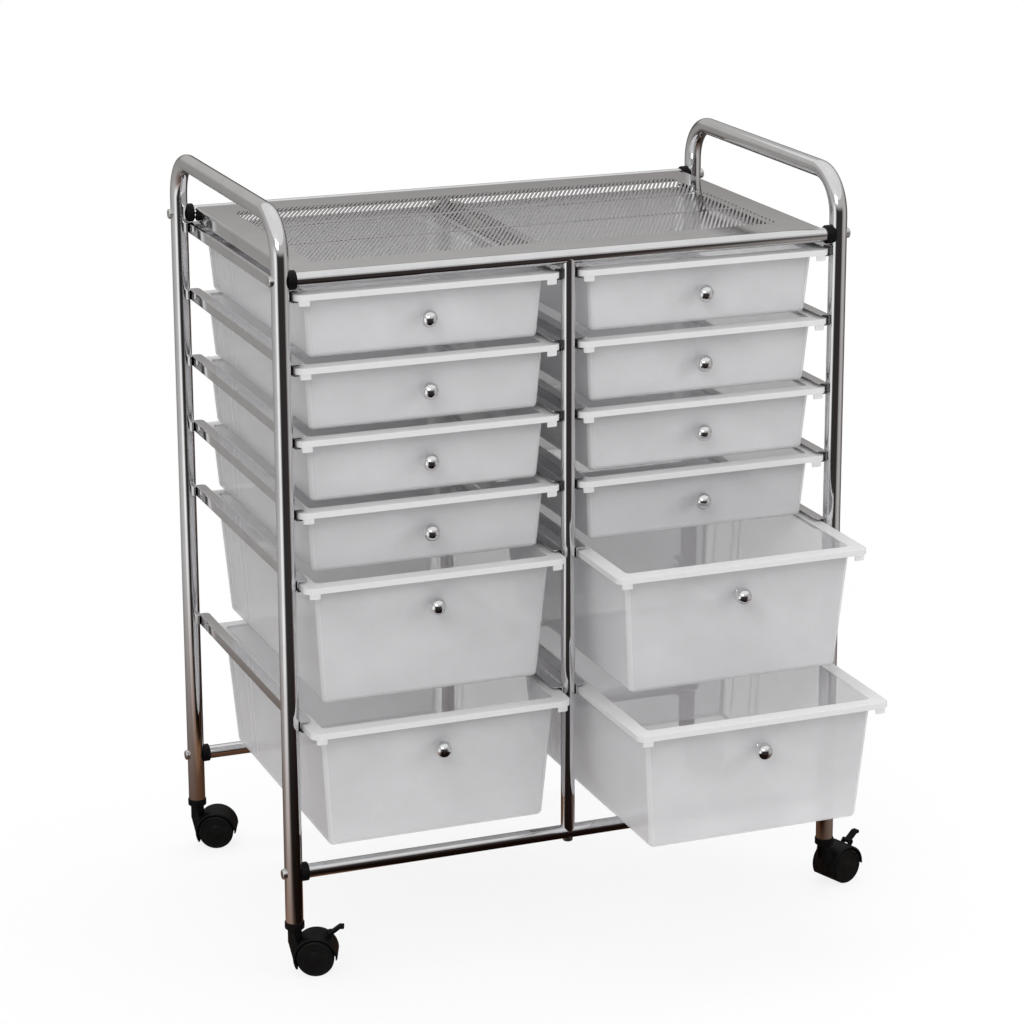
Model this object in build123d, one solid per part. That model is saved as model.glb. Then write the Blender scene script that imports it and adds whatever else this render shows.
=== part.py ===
from build123d import *
import math
import os

# Rolling cart: two columns of drawers hung in a chromed tube frame on four casters
# Millimetres, floor at z 0, +X to the right, +Y to the rear, origin midway between the four legs

# Fits
seat_clearance = 0.05
slide_clearance = 0.3
running_clearance = 0.05
cut_overrun = 1.0

# Tube frame
leg_spacing_x = 621.0
leg_spacing_y = 374.0
leg_diameter = 19.0
bar_diameter = 15.0
post_diameter = 15.0
tube_wall = 1.2
bottom_bar_rise = 54.0
handle_rise = 63.0
handle_bend_radius = 45.0

# End caps on the cross bars, and the bolts that hold them
cap_diameter = 20.0
cap_length = 6.0
cap_saddle_depth = 3.0
cap_spigot_length = 18.0
bolt_diameter = 6.0
bolt_head_diameter = 11.0
bolt_head_height = 3.2
bolt_head_round = 1.4
bolt_head_wrap = 2.0
bolt_reach = 14.0
plug_length = 18.0
stub_diameter = 6.0
stub_length = 6.0

# Drawers
shallow_rows = 4
deep_rows = 2
shallow_height = 71.0
deep_height = 135.5
shallow_row_gap = 4.8
deep_row_gap = 17.2
base_gap = 21.5
draft_angle = 4.4
drawer_wall = 1.8
rim_height = 7.0
rim_width = 14.0
rim_corner_radius = 9.0
body_corner_radius = 6.0
drawer_bottom_radius = 5.0
drawer_side_play = 1.7
rim_front_overhang = 8.0
rim_rear_overhang = 4.0
tab_width = 10.0
tab_drop = 5.5
tab_inset = 6.0
tab_stop_gap = 0.5

# How far each drawer stands open, top row first
left_pulls = [0, 0, 0, 0, 16.0, 30.0]
right_pulls = [0, 0, 0, 0, 104.0, 160.0]

# Sheet steel runners and top shelf
sheet_thickness = 1.0
runner_flange = 11.5
runner_tip_radius = 5.0
runner_rear_overhang = 3.0
rim_headroom = 2.6
rail_gap = 3.2
shelf_drop = 1.0
shelf_flange_height = 14.0
shelf_end_gap = 1.0

# Knobs and their screws
knob_diameter = 18.0
knob_stand_off = 12.8
knob_neck_diameter = 9.0
knob_drop = 36.0
screw_diameter = 4.0
screw_reach = 9.0
screw_head_diameter = 8.0
screw_head_height = 2.4

# Twin-wheel casters
wheel_diameter = 40.0
wheel_width = 11.0
wheel_edge_radius = 2.5
wheel_side_gap = 0.5
wheel_cap_thickness = 1.5
axle_diameter = 6.0
axle_end_gap = 0.5
caster_trail = 22.0
hood_gap = 1.5
hood_thickness = 2.0
hood_web = 11.0
hood_hub_radius = 9.0
hood_boss_diameter = 15.0
hood_neck = 5.2
hood_trail_angle = -3.0
hood_lead_angle = 211.0
stem_diameter = 8.0
stem_depth_in_hood = 20.0
socket_collar_diameter = 21.0
socket_collar_height = 8.0
socket_plug_length = 26.0

# Brake levers on the two front casters
lever_pivot_angle = 56.0
lever_pivot_lift = 3.4
lever_knuckle_radius = 2.5
lever_width = 8.0
lever_thickness = 3.0
lever_length = 14.0
lever_rise_angle = 38.0
lever_toe_length = 5.0
lever_toe_turn = 55.0
trunnion_diameter = 2.6
ear_thickness = 2.0
ear_radius = 2.8

# Direction in which each caster trails, in degrees from +X
caster_headings = {
    "front_left": -21.5,
    "front_right": 18.0,
    "rear_left": -21.5,
    "rear_right": -21.5,
}
braked_casters = ["front_left", "front_right"]

# Sizes that follow from the ones above
leg_x = leg_spacing_x / 2
leg_y = leg_spacing_y / 2
leg_radius = leg_diameter / 2
bar_radius = bar_diameter / 2
post_radius = post_diameter / 2
bar_end_x = leg_x - leg_radius - cap_length

wheel_radius = wheel_diameter / 2
hood_bore_radius = wheel_radius + hood_gap
hood_radius = hood_bore_radius + hood_thickness
wheel_inner = hood_web / 2 + wheel_side_gap
hood_half_width = wheel_inner + wheel_width
hood_top = wheel_radius + hood_radius + hood_neck
leg_foot_height = hood_top + slide_clearance + socket_collar_height

draft_slope = math.tan(math.radians(draft_angle))
column_x = (leg_x - leg_radius + post_radius) / 2
runner_gap = leg_x - leg_radius - post_radius
rim_half_width = runner_gap / 2 - seat_clearance - sheet_thickness - drawer_side_play
rim_front = -leg_y - rim_front_overhang
rim_rear = leg_y + rim_rear_overhang
rim_depth = rim_rear - rim_front
rim_middle = (rim_rear + rim_front) / 2
body_half_width = rim_half_width - rim_width
body_depth = rim_depth - 2 * rim_width
face_y = rim_front + rim_width

bottom_bar_height = leg_foot_height + bottom_bar_rise
row_heights = [shallow_height] * shallow_rows + [deep_height] * deep_rows
row_gaps = [shallow_row_gap] * shallow_rows + [deep_row_gap] * (deep_rows - 1)


def stack_rim_tops():
    # Height of each drawer's rim, top row first, stacked up from the bottom bar
    tops = [bottom_bar_height + bar_radius + base_gap + row_heights[-1]]
    for height, gap in zip(reversed(row_heights[:-1]), reversed(row_gaps)):
        tops.insert(0, tops[0] + gap + height)
    return tops


rim_tops = stack_rim_tops()
runner_rise = rim_headroom + sheet_thickness
runner_drop = rim_height + slide_clearance + sheet_thickness
shelf_top = rim_tops[0] + runner_rise + rail_gap + shelf_flange_height
top_bar_height = shelf_top + shelf_drop - bar_radius
handle_height = top_bar_height + handle_rise


def rod(diameter, start, end):
    # Round rod from one point to another
    axis = Vector(*end) - Vector(*start)
    return extrude(Plane(origin=start, z_dir=axis) * Circle(diameter / 2), axis.length)


def tube(diameter, start, end):
    # Round tube from one point to another, with the frame's wall
    return rod(diameter, start, end) - rod(diameter - 2 * tube_wall, start, end)


def export(name, *solids):
    # One file for each node; a node of several solids is a compound
    shape = solids[0] if len(solids) == 1 else Compound(children=list(solids))
    export_step(shape, f"parts/{name}.step")


# Side frames: inverted U of bent tube, drilled for the bar bolts and the caster sockets
def leg_bolt_holes(x):
    holes = []
    reach = leg_radius + cut_overrun
    for y in (-leg_y, leg_y):
        for z in (bottom_bar_height, top_bar_height):
            holes.append(rod(bolt_diameter + 2 * seat_clearance, (x - reach, y, z), (x + reach, y, z)))
    return holes


def side_frame(x):
    path = FilletPolyline(
        (x, -leg_y, leg_foot_height),
        (x, -leg_y, handle_height),
        (x, leg_y, handle_height),
        (x, leg_y, leg_foot_height),
        radius=handle_bend_radius,
    )
    start = Plane(origin=path @ 0, z_dir=path % 0)
    frame = sweep(start * Circle(leg_radius), path=path)
    frame -= sweep(start * Circle(leg_radius - tube_wall), path=path)
    return frame - leg_bolt_holes(x)


# Cross bars between the side frames, front and rear, bottom and top
def bar(y, z):
    return tube(bar_diameter, (-bar_end_x, y, z), (bar_end_x, y, z))


def bottom_bar(y):
    reach = bar_radius + cut_overrun
    hole = rod(
        bolt_diameter + 2 * seat_clearance,
        (0, y, bottom_bar_height - reach),
        (0, y, bottom_bar_height + reach),
    )
    return bar(y, bottom_bar_height) - hole


def top_bar(y):
    hole = rod(
        stub_diameter + 2 * seat_clearance,
        (0, y, top_bar_height - bar_radius - cut_overrun),
        (0, y, top_bar_height),
    )
    return bar(y, top_bar_height) - hole


# Black end cap: a saddle against the leg and a spigot inside the bar
def end_cap(side, y, z):
    saddle_end = side * (leg_x - leg_radius + cap_saddle_depth)
    cap = rod(cap_diameter, (side * bar_end_x, y, z), (saddle_end, y, z))
    leg = rod(
        leg_diameter + 2 * seat_clearance,
        (side * leg_x, y, z - cap_diameter),
        (side * leg_x, y, z + cap_diameter),
    )
    spigot_end = side * (bar_end_x - cap_spigot_length)
    spigot_diameter = bar_diameter - 2 * tube_wall - 2 * seat_clearance
    spigot = rod(spigot_diameter, (spigot_end, y, z), (side * bar_end_x, y, z))
    bore = rod(
        bolt_diameter + 2 * seat_clearance,
        (spigot_end - side * cut_overrun, y, z),
        (side * leg_x, y, z),
    )
    return cap - leg + spigot - bore


# Domed bolt whose head is hollowed to sit on a round tube; the axis points out of the head
def saddle_bolt(seat_radius, length):
    head_low = Pos(0, 0, seat_radius - bolt_head_wrap)
    head = extrude(head_low * Circle(bolt_head_diameter / 2), bolt_head_wrap + bolt_head_height)
    head = fillet(head.edges().sort_by(Axis.Z)[-1:], bolt_head_round)
    head -= rod(
        2 * (seat_radius + seat_clearance),
        (0, -bolt_head_diameter, 0),
        (0, bolt_head_diameter, 0),
    )
    shank_top = seat_radius + bolt_head_height / 2
    return head + rod(bolt_diameter, (0, 0, shank_top - length), (0, 0, shank_top))


def frame_bolt(side, y, z):
    length = bolt_head_height / 2 + leg_diameter + cap_length + bolt_reach
    plane = Plane(origin=(side * leg_x, y, z), x_dir=(0, 1, 0), z_dir=(side, 0, 0))
    return plane * saddle_bolt(leg_radius, length)


def post_bolt(y):
    length = bolt_head_height / 2 + bar_diameter + bolt_reach
    plane = Plane(origin=(0, y, bottom_bar_height), x_dir=(0, 1, 0), z_dir=(0, 0, -1))
    return plane * saddle_bolt(bar_radius, length)


# Centre posts, notched at both ends to sit on the bars, with a plug in each end
def centre_post(y):
    post = tube(post_diameter, (0, y, bottom_bar_height), (0, y, top_bar_height))
    for z in (bottom_bar_height, top_bar_height):
        post -= rod(bar_diameter + 2 * seat_clearance, (-post_diameter, y, z), (post_diameter, y, z))
    return post


def plug_diameter():
    return post_diameter - 2 * tube_wall - 2 * seat_clearance


def lower_plug(y):
    base = bottom_bar_height + bar_radius + seat_clearance
    plug = rod(plug_diameter(), (0, y, base), (0, y, base + plug_length))
    thread = rod(
        bolt_diameter + 2 * seat_clearance,
        (0, y, base - cut_overrun),
        (0, y, base + plug_length + cut_overrun),
    )
    return plug - thread


def upper_plug(y):
    head = top_bar_height - bar_radius - seat_clearance
    plug = rod(plug_diameter(), (0, y, head - plug_length), (0, y, head))
    return plug + rod(stub_diameter, (0, y, head - stub_length), (0, y, head + stub_length))


# Runner: C channel of sheet, its web against the tubes and its flanges round the drawer's rim
def runner(web_x, inward, rim_top):
    low = rim_top - runner_drop
    high = rim_top + runner_rise
    web_inner = web_x + inward * sheet_thickness
    tip = web_x + inward * runner_flange
    outline = Polyline(
        (web_x, low),
        (tip, low),
        (tip, low + sheet_thickness),
        (web_inner, low + sheet_thickness),
        (web_inner, high - sheet_thickness),
        (tip, high - sheet_thickness),
        (tip, high),
        (web_x, high),
        close=True,
    )
    front = rim_front + drawer_wall + tab_stop_gap
    length = leg_y + runner_rear_overhang - front
    front_plane = Plane(origin=(0, front, 0), x_dir=(1, 0, 0), z_dir=(0, -1, 0))
    channel = extrude(front_plane * make_face(outline), -length)
    tips = channel.edges().filter_by(Axis.Z).sort_by(Axis.X, reverse=inward > 0)[:4]
    return fillet(tips, runner_tip_radius)


# Top shelf: flat sheet between the two top bars, turned down at both ends
def shelf():
    sheet_low = shelf_top - sheet_thickness
    below_crown = shelf_drop + sheet_thickness
    half_chord = math.sqrt(bar_radius**2 - (bar_radius - below_crown) ** 2)
    half_width = bar_end_x - shelf_end_gap
    half_depth = leg_y - half_chord - seat_clearance
    sheet = extrude(Pos(0, 0, sheet_low) * Rectangle(2 * half_width, 2 * half_depth), sheet_thickness)
    flange_depth = 2 * (leg_y - bar_radius - seat_clearance)
    for side in (-1, 1):
        middle = side * (half_width - sheet_thickness / 2)
        flange = Pos(middle, 0, shelf_top - shelf_flange_height) * Rectangle(sheet_thickness, flange_depth)
        sheet += extrude(flange, shelf_flange_height)
    return sheet


# Drawers, drawn closed and centred on x 0 with the rim's top at z 0
def drawer_section(skin, z):
    inset = skin - z * draft_slope
    radius = body_corner_radius - skin
    outline = RectangleRounded(2 * (body_half_width - inset), body_depth - 2 * inset, radius)
    return Pos(0, rim_middle, z) * outline


def tapered_block(skin, low, high):
    # Drafted block that lies a skin's thickness inside the drawer's outside
    block = loft([drawer_section(skin, low), drawer_section(skin, high)], ruled=True)
    return fillet(block.faces().sort_by(Axis.Z)[0].edges(), drawer_bottom_radius - skin)


def rim():
    outline = RectangleRounded(2 * rim_half_width, rim_depth, rim_corner_radius)
    band = extrude(Pos(0, rim_middle, -rim_height) * outline, rim_height)
    hollow_outline = RectangleRounded(
        2 * (rim_half_width - drawer_wall),
        rim_depth - 2 * drawer_wall,
        rim_corner_radius - drawer_wall,
    )
    hollow_low = Pos(0, rim_middle, -rim_height - cut_overrun)
    band -= extrude(hollow_low * hollow_outline, rim_height + cut_overrun - drawer_wall)
    for side in (-1, 1):
        tab_x = side * (rim_half_width - tab_inset - tab_width / 2)
        tab_foot = Pos(tab_x, rim_front + drawer_wall / 2, -rim_height - tab_drop)
        band += extrude(tab_foot * Rectangle(tab_width, drawer_wall), tab_drop + rim_height / 2)
    return band


def knob_plane():
    # Where the knob's axis leaves the sloping face, pointing out of it
    tilt = math.radians(draft_angle)
    origin = (0, face_y + knob_drop * draft_slope, -knob_drop)
    return Plane(origin=origin, x_dir=(1, 0, 0), z_dir=(0, -math.cos(tilt), -math.sin(tilt)))


def face_thickness():
    return drawer_wall * math.cos(math.radians(draft_angle))


def drawer(height):
    body = tapered_block(0, -height, 0)
    cavity = tapered_block(drawer_wall, drawer_wall - height, cut_overrun)
    hole_reach = 2 * drawer_wall
    hole = rod(screw_diameter + 2 * seat_clearance, (0, 0, -hole_reach), (0, 0, hole_reach))
    return rim() + body - cavity - knob_plane() * hole


def knob():
    ball = Pos(0, 0, knob_stand_off) * Sphere(knob_diameter / 2)
    neck = rod(knob_neck_diameter, (0, 0, seat_clearance), (0, 0, knob_stand_off))
    thread = rod(screw_diameter + 2 * seat_clearance, (0, 0, 0), (0, 0, screw_reach + seat_clearance))
    return knob_plane() * (ball + neck - thread)


def knob_screw():
    seat = -face_thickness() - seat_clearance
    head = rod(screw_head_diameter, (0, 0, seat - screw_head_height), (0, 0, seat))
    shank = rod(screw_diameter, (0, 0, seat), (0, 0, screw_reach))
    return knob_plane() * (head + shank)


# Casters, drawn with the stem on the z axis and trailing towards +X
def across(radius, inner, outer):
    # Disc about the wheel's axis, from one distance along it to another
    return rod(2 * radius, (caster_trail, inner, wheel_radius), (caster_trail, outer, wheel_radius))


def polar(radius, angle):
    # Point at a radius and an angle about the wheel's axis
    turn = math.radians(angle)
    return (caster_trail + radius * math.cos(turn), wheel_radius + radius * math.sin(turn))


def side_plane():
    # Drawing plane with x along the trail and y up, facing the left wheel
    return Plane(origin=(0, 0, 0), x_dir=(1, 0, 0), z_dir=(0, -1, 0))


def hood_sector():
    # Wedge of the hood's outer cylinder between its trailing and leading ends
    middle = (hood_trail_angle + hood_lead_angle) / 2
    arc = ThreePointArc(
        polar(hood_radius, hood_trail_angle),
        polar(hood_radius, middle),
        polar(hood_radius, hood_lead_angle),
    )
    axis_point = polar(0, 0)
    outline = [arc, Line(arc @ 1, axis_point), Line(axis_point, arc @ 0)]
    return extrude(side_plane() * make_face(outline), hood_half_width, both=True)


def lever_pivot():
    return polar(hood_radius + lever_pivot_lift, lever_pivot_angle)


def link(start, stop, width, inner, outer):
    # Flat link with round ends between two points, from one distance along the axle to another
    outline = SlotCenterToCenter(math.dist(start, stop), width)
    angle = math.degrees(math.atan2(stop[1] - start[1], stop[0] - start[0]))
    middle = ((start[0] + stop[0]) / 2, (start[1] + stop[1]) / 2)
    plate = extrude(side_plane() * (Pos(*middle) * Rot(0, 0, angle) * outline), inner - outer)
    return Pos(0, inner, 0) * plate


def lever_ears():
    root = polar(hood_radius - hood_thickness / 2, lever_pivot_angle)
    inner = lever_width / 2 + slide_clearance
    ears = []
    for side in (-1, 1):
        ears.append(link(root, lever_pivot(), 2 * ear_radius, side * inner, side * (inner + ear_thickness)))
    return ears


def hood(braked):
    shell = hood_sector() + across(hood_hub_radius, -hood_web / 2, hood_web / 2)
    shell += rod(hood_boss_diameter, (0, 0, wheel_radius), (0, 0, hood_top))
    if braked:
        for ear in lever_ears():
            shell += ear
    for side in (-1, 1):
        shell -= across(hood_bore_radius, side * hood_web / 2, side * (hood_half_width + cut_overrun))
    shell -= across(axle_diameter / 2 + seat_clearance, -hood_web, hood_web)
    bore_radius = stem_diameter / 2 + running_clearance
    shell -= rod(2 * bore_radius, (0, 0, hood_top - stem_depth_in_hood), (0, 0, hood_top + cut_overrun))
    if braked:
        shell -= lever_axis_rod(trunnion_diameter + 2 * running_clearance, hood_half_width)
    return shell


def lever_axis_rod(diameter, half_length):
    x, z = lever_pivot()
    return rod(diameter, (x, -half_length, z), (x, half_length, z))


def brake_lever():
    x, z = lever_pivot()
    rise = math.radians(lever_rise_angle)
    toe = math.radians(lever_rise_angle - lever_toe_turn)
    elbow = (x + lever_length * math.cos(rise), z + lever_length * math.sin(rise))
    end = (elbow[0] + lever_toe_length * math.cos(toe), elbow[1] + lever_toe_length * math.sin(toe))
    lever = lever_axis_rod(2 * lever_knuckle_radius, lever_width / 2)
    for start, stop in (((x, z), elbow), (elbow, end)):
        lever += link(start, stop, lever_thickness, -lever_width / 2, lever_width / 2)
    return lever + lever_axis_rod(trunnion_diameter, lever_width / 2 + slide_clearance + ear_thickness)


def wheel(side):
    outer = wheel_inner + wheel_width
    disc = across(wheel_radius, side * wheel_inner, side * outer)
    disc = fillet(disc.edges().filter_by(GeomType.CIRCLE), wheel_edge_radius)
    bore_end = side * (outer - wheel_cap_thickness)
    return disc - across(axle_diameter / 2 + running_clearance, side * (wheel_inner - cut_overrun), bore_end)


def axle():
    half_length = wheel_inner + wheel_width - wheel_cap_thickness - axle_end_gap
    return across(axle_diameter / 2, -half_length, half_length)


# Plastic socket pushed into the leg, and the steel stem held in it
def caster_socket():
    collar_low = leg_foot_height - socket_collar_height
    collar = rod(socket_collar_diameter, (0, 0, collar_low), (0, 0, leg_foot_height))
    plug_top = leg_foot_height + socket_plug_length
    plug = rod(leg_diameter - 2 * tube_wall - 2 * seat_clearance, (0, 0, leg_foot_height), (0, 0, plug_top))
    bore = rod(
        stem_diameter + 2 * seat_clearance,
        (0, 0, collar_low - cut_overrun),
        (0, 0, plug_top + cut_overrun),
    )
    return collar + plug - bore


def caster_stem():
    foot = hood_top - stem_depth_in_hood + slide_clearance
    return rod(stem_diameter, (0, 0, foot), (0, 0, leg_foot_height + socket_plug_length))


os.makedirs("parts", exist_ok=True)

export("left_side_frame", side_frame(-leg_x))
export("right_side_frame", side_frame(leg_x))
export("top_shelf", shelf())
ends = {"front": -leg_y, "rear": leg_y}
for end, y in ends.items():
    export(f"centre_{end}_post", centre_post(y))
    export(f"top_{end}_bar", top_bar(y))
    export(f"bottom_{end}_bar", bottom_bar(y))

bar_ends = []
for side in (-1, 1):
    for y in ends.values():
        for z in (bottom_bar_height, top_bar_height):
            bar_ends.append((side, y, z))
export("bar_end_caps", *[end_cap(*place) for place in bar_ends])
export("frame_bolts", *[frame_bolt(*place) for place in bar_ends])
export("post_bolts", *[post_bolt(y) for y in ends.values()])
export("post_plugs", *[make(y) for y in ends.values() for make in (lower_plug, upper_plug)])

leg_web_x = leg_x - leg_radius - seat_clearance
post_web_x = post_radius + seat_clearance
export("left_runners", *[runner(-leg_web_x, 1, top) for top in rim_tops])
export("right_runners", *[runner(leg_web_x, -1, top) for top in rim_tops])
export("centre_runners", *[runner(side * post_web_x, side, top) for side in (-1, 1) for top in rim_tops])

drawers = {height: drawer(height) for height in (shallow_height, deep_height)}
handle_knob = knob()
handle_screw = knob_screw()
columns = {"left": (-column_x, left_pulls), "right": (column_x, right_pulls)}
for column, (x, pulls) in columns.items():
    for row, (height, top, pull) in enumerate(zip(row_heights, rim_tops, pulls), start=1):
        place = Pos(x, -pull, top)
        export(f"{column}_drawer_{row}", place * drawers[height])
        export(f"{column}_knob_{row}", place * handle_knob, place * handle_screw)

corners = {}
for corner in caster_headings:
    end, side = corner.split("_")
    corners[corner] = Pos(-leg_x if side == "left" else leg_x, ends[end], 0)
export("caster_sockets", *[place * caster_socket() for place in corners.values()])
export("caster_stems", *[place * caster_stem() for place in corners.values()])
for corner, heading in caster_headings.items():
    place = corners[corner] * Rot(0, 0, heading)
    braked = corner in braked_casters
    export(f"{corner}_hood", place * hood(braked))
    export(f"{corner}_axle", place * axle())
    export(f"{corner}_wheel_inner", place * wheel(1))
    export(f"{corner}_wheel_outer", place * wheel(-1))
    if braked:
        export(f"{corner}_brake_lever", place * brake_lever())
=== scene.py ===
import math

import bmesh
import bpy
from mathutils import Matrix, Vector


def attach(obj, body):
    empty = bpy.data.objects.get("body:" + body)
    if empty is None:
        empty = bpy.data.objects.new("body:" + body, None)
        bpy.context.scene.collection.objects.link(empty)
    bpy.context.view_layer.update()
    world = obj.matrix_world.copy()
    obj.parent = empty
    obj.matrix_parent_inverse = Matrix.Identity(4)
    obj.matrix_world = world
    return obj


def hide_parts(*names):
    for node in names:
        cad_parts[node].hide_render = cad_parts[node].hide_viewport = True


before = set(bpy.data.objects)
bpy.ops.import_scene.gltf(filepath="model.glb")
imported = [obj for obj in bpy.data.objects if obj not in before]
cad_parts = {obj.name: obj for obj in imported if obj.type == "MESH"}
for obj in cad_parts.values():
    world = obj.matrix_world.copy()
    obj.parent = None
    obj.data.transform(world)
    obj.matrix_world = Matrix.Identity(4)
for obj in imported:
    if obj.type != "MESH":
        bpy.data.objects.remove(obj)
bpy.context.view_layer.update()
mm = 0.001  # piece sizes below are in millimetres
slack = 0.01  # millimetres; places nearer than this count as the same
weld = 1e-6  # metres; points nearer than this become one
hair = 1e-7  # metres; a cutting plane takes points nearer than this as on it
print("frame loaded:", len(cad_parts), "nodes")


# shader maths: a wrapped socket, so that expressions add their own nodes
class Wire:
    def __init__(self, tree, socket=None):
        self.tree = tree
        self.socket = socket

    def node(self, kind, settings, inputs, out=0):
        made = self.tree.nodes.new(kind)
        for key, value in settings.items():
            if key == "stops":
                ramp = made.color_ramp.elements
                while len(ramp) < len(value):
                    ramp.new(0.5)
                for stop, (place, colour) in zip(ramp, value):
                    stop.position = place
                    stop.color = colour
            else:
                setattr(made, key, value)
        for key, value in inputs.items():
            if isinstance(value, Wire):
                self.tree.links.new(value.socket, made.inputs[key])
            else:
                made.inputs[key].default_value = value
        return Wire(self.tree, made.outputs[out])

    def maths(self, operation, first, second):
        return self.node("ShaderNodeMath", {"operation": operation}, {0: first, 1: second})

    def __add__(self, other):
        return self.maths("ADD", self, other)

    def __radd__(self, other):
        return self.maths("ADD", other, self)

    def __sub__(self, other):
        return self.maths("SUBTRACT", self, other)

    def __rsub__(self, other):
        return self.maths("SUBTRACT", other, self)

    def __mul__(self, other):
        return self.maths("MULTIPLY", self, other)

    def __rmul__(self, other):
        return self.maths("MULTIPLY", other, self)

    def noise(self, scale, detail=3.0, rough=0.5):
        inputs = {"Vector": self, "Scale": scale, "Detail": detail, "Roughness": rough}
        return self.node("ShaderNodeTexNoise", {}, inputs)

    def span(self, low, high):  # 0 at low, 1 at high, smooth between
        inputs = {"Value": self, "From Min": low, "From Max": high}
        return self.node("ShaderNodeMapRange", {"interpolation_type": "SMOOTHSTEP"}, inputs)

    def tint(self, dark, pale):  # colour that goes from dark to pale with this value
        stops = [(0.0, (*dark, 1.0)), (1.0, (*pale, 1.0))]
        return self.node("ShaderNodeValToRGB", {"stops": stops}, {"Fac": self})

    def bump(self, strength, distance):
        inputs = {"Height": self, "Strength": strength, "Distance": distance}
        return self.node("ShaderNodeBump", {}, inputs)

    def feed(self, shader, name):
        self.tree.links.new(self.socket, shader.inputs[name])


def blend(share, first, second):  # a Mix node's colours are its sockets 6 and 7, and its output 2
    return share.node("ShaderNodeMix", {"data_type": "RGBA"}, {0: share, 6: first, 7: second}, 2)


def newMaterial(name, **constants):
    material = bpy.data.materials.new(name)
    material.use_nodes = True
    shader = material.node_tree.nodes["Principled BSDF"]
    for key, value in constants.items():
        shader.inputs[key.replace("_", " ")].default_value = value
    coords = Wire(material.node_tree).node("ShaderNodeTexCoord", {}, {}, "Object")
    return material, shader, coords


# chrome plate on the tubes and sheet: a mirror with faint smudges and orange peel
chromeLook = {"dark": (0.66, 0.66, 0.67), "pale": (0.80, 0.80, 0.81), "rough": 0.07, "smudge": 0.09}
chromeGrain = {
    "smudge": (23.0, 5.0, 0.6), "edge": (0.35, 0.75), "fade": 0.5,
    "peel": (160.0, 2.0), "relief": (0.02, 0.0006),
}


def chromeMaterial(name, look):
    material, shader, coords = newMaterial(name, Metallic=1.0)
    g = chromeGrain
    smudge = coords.noise(*g["smudge"]).span(*g["edge"])
    fine = coords.noise(*g["peel"])
    (1 - smudge * g["fade"]).tint(look["dark"], look["pale"]).feed(shader, "Base Color")
    (look["rough"] + look["smudge"] * smudge * fine).feed(shader, "Roughness")
    fine.bump(*g["relief"]).feed(shader, "Normal")
    return material


# frosted polypropylene: milky grained front, clearer drawn sides, a rim that is nearly opaque; the sides
# and inside walls are painted paler than the front, painted light for the glow that passes through the
# plastic
drawerLook = {
    # dark and pale: the walls' tint, painted paler than the front's tint as painted light for the glow
    # through the plastic
    "dark": (0.70, 0.695, 0.71), "pale": (0.94, 0.93, 0.945), "rimColour": (0.78, 0.775, 0.78, 1.0),
    "frontDark": (0.47, 0.467, 0.477), "frontPale": (0.86, 0.85, 0.865), "frontFrom": (0.30, 0.34),
    "sideRough": 0.2, "frontRough": 0.42, "sideCover": 0.5, "frontCover": 0.66, "rimCover": 0.9,
    "facing": (0.6, 0.95), "flow": (14.0, 4.0, 0.55), "grain": (900.0, 2.0, 0.6), "flowRough": 0.06,
    "flowShare": 0.45, "grainShare": 0.2, "depthShare": 0.4,
    "sideGrain": 0.02, "frontGrain": 0.05, "relief": (0.6, 0.0012),
}


def drawerMaterial(name, look):
    material, shader, coords = newMaterial(name, IOR=1.46, Specular_IOR_Level=0.4)
    normal = coords.node("ShaderNodeNewGeometry", {}, {}, "Normal")
    facing = normal.node("ShaderNodeSeparateXYZ", {}, {"Vector": normal}, "Y")
    front = (0 - facing).span(*look["facing"])
    along = coords.node("ShaderNodeAttribute", {"attribute_name": "along"}, {}, "Fac")
    # rim: 1 on the rim and its tabs, part way on the rounded corners as a painted highlight
    rim = coords.node("ShaderNodeAttribute", {"attribute_name": "rim"}, {}, "Fac")
    flow = coords.noise(*look["flow"])
    grain = coords.noise(*look["grain"])
    depth = coords.node("ShaderNodeAttribute", {"attribute_name": "depth"}, {}, "Fac")
    cloud = flow * look["flowShare"] + grain * look["grainShare"] + depth * look["depthShare"]
    frontWall = front * along.span(*look["frontFrom"])
    # the sides and inside walls take the paler tint, painted light for the glow that passes through the
    # plastic; the front wall keeps the darker tint
    paintedGlowMilk = cloud.tint(look["dark"], look["pale"])
    paintedGlowMilk = blend(frontWall, paintedGlowMilk, cloud.tint(look["frontDark"], look["frontPale"]))
    # the rim's own colour, which the rounded corners take in part as a painted highlight
    blend(rim, paintedGlowMilk, look["rimColour"]).feed(shader, "Base Color")
    rougher = look["frontRough"] - look["sideRough"]
    (look["sideRough"] + rougher * front + look["flowRough"] * flow).feed(shader, "Roughness")
    wallCover = look["sideCover"] + (look["frontCover"] - look["sideCover"]) * front
    (wallCover + rim * (look["rimCover"] - wallCover)).feed(shader, "Alpha")
    relief = grain * (look["sideGrain"] + look["frontGrain"] * front)
    relief.bump(*look["relief"]).feed(shader, "Normal")
    return material


# moulded black plastic: fine spark grain, a little dust on it
blackLook = {"dark": (0.004, 0.004, 0.004), "pale": (0.009, 0.008, 0.0075), "rough": 0.42}
wheelLook = {"dark": (0.005, 0.005, 0.005), "pale": (0.014, 0.013, 0.012), "rough": 0.5}
mouldGrain = {
    "dust": (60.0, 5.0, 0.65), "edge": (0.4, 0.8), "spark": (1600.0, 2.0, 0.6), "relief": (0.15, 0.0003),
    "dustShare": 0.6, "sparkShare": 0.3, "dustRough": 0.12, "sparkRough": 0.06,
}


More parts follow.
